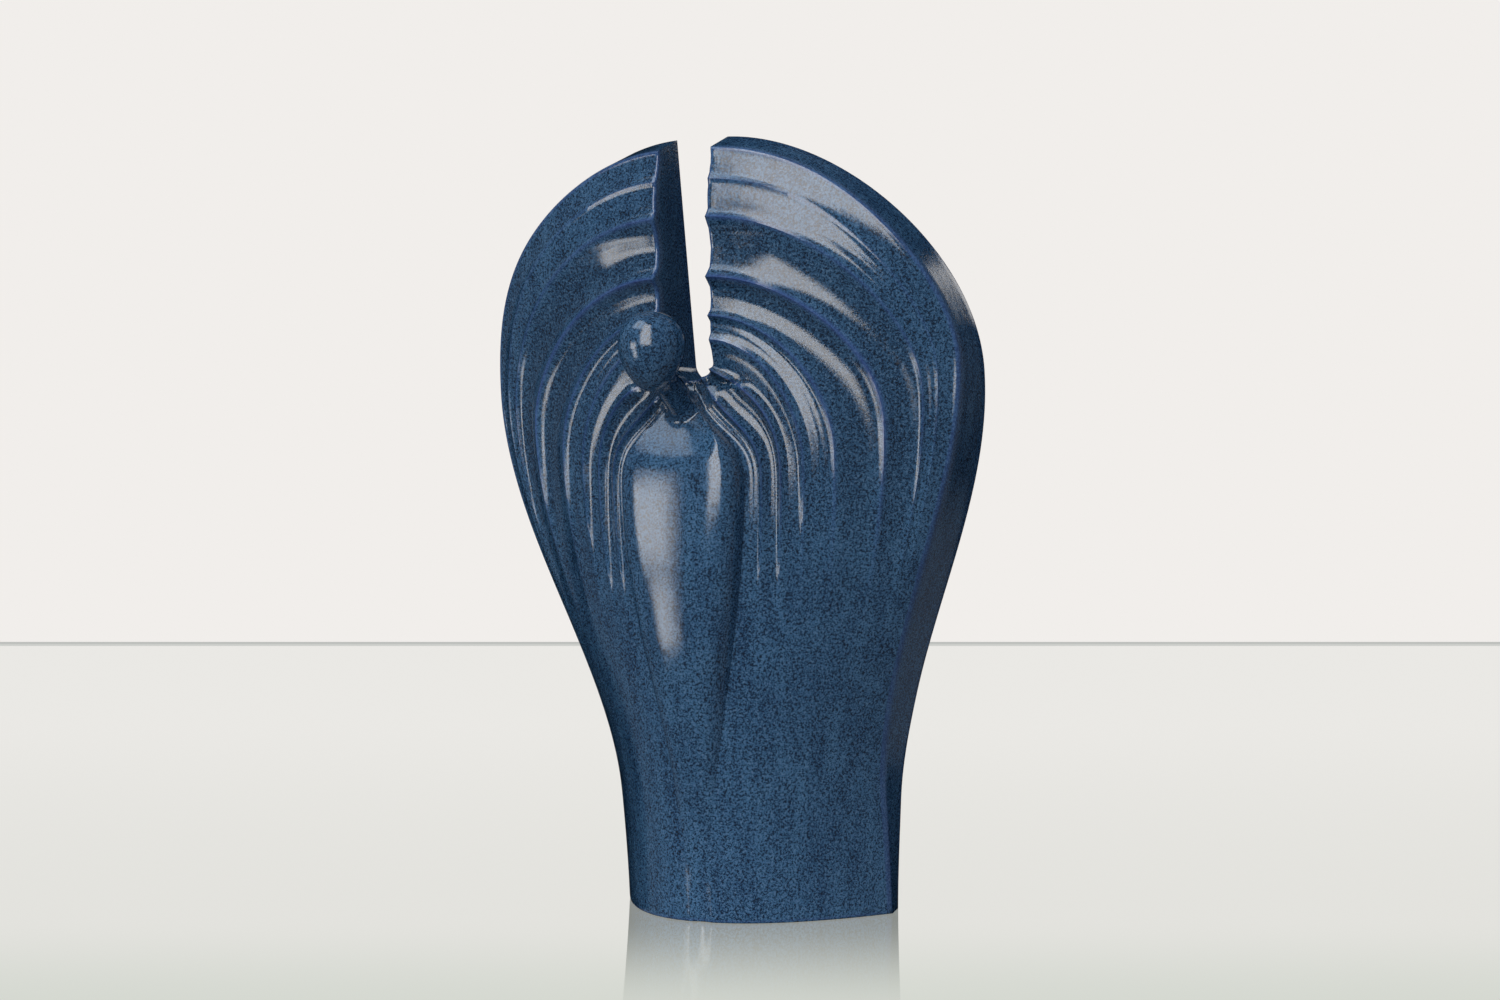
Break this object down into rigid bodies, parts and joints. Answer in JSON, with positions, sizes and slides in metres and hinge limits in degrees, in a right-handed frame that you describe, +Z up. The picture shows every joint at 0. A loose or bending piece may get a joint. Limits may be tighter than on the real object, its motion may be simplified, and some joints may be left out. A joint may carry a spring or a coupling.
{
  "type": "funeral urn",
  "caption": "Hollow glazed ceramic funeral urn shaped as two raised wings with a slot between them, a robed figure with a plain round head in front, filled from below.",
  "frame": {"origin": "middle of the bounding box in X and Y, on the surface that the urn stands on", "axes": "+Z up, -Y towards the viewer who faces the figure, X = 0 the plane of symmetry"},
  "size_m": [0.2704, 0.164, 0.4024],
  "materials": {
    "glaze": "glossy speckled blue glaze",
    "rubber": "matt"
  },
  "bodies": {
    "root": {"urn_body": "glaze", "base_stopper": "rubber"}
  },
  "joints": []
}
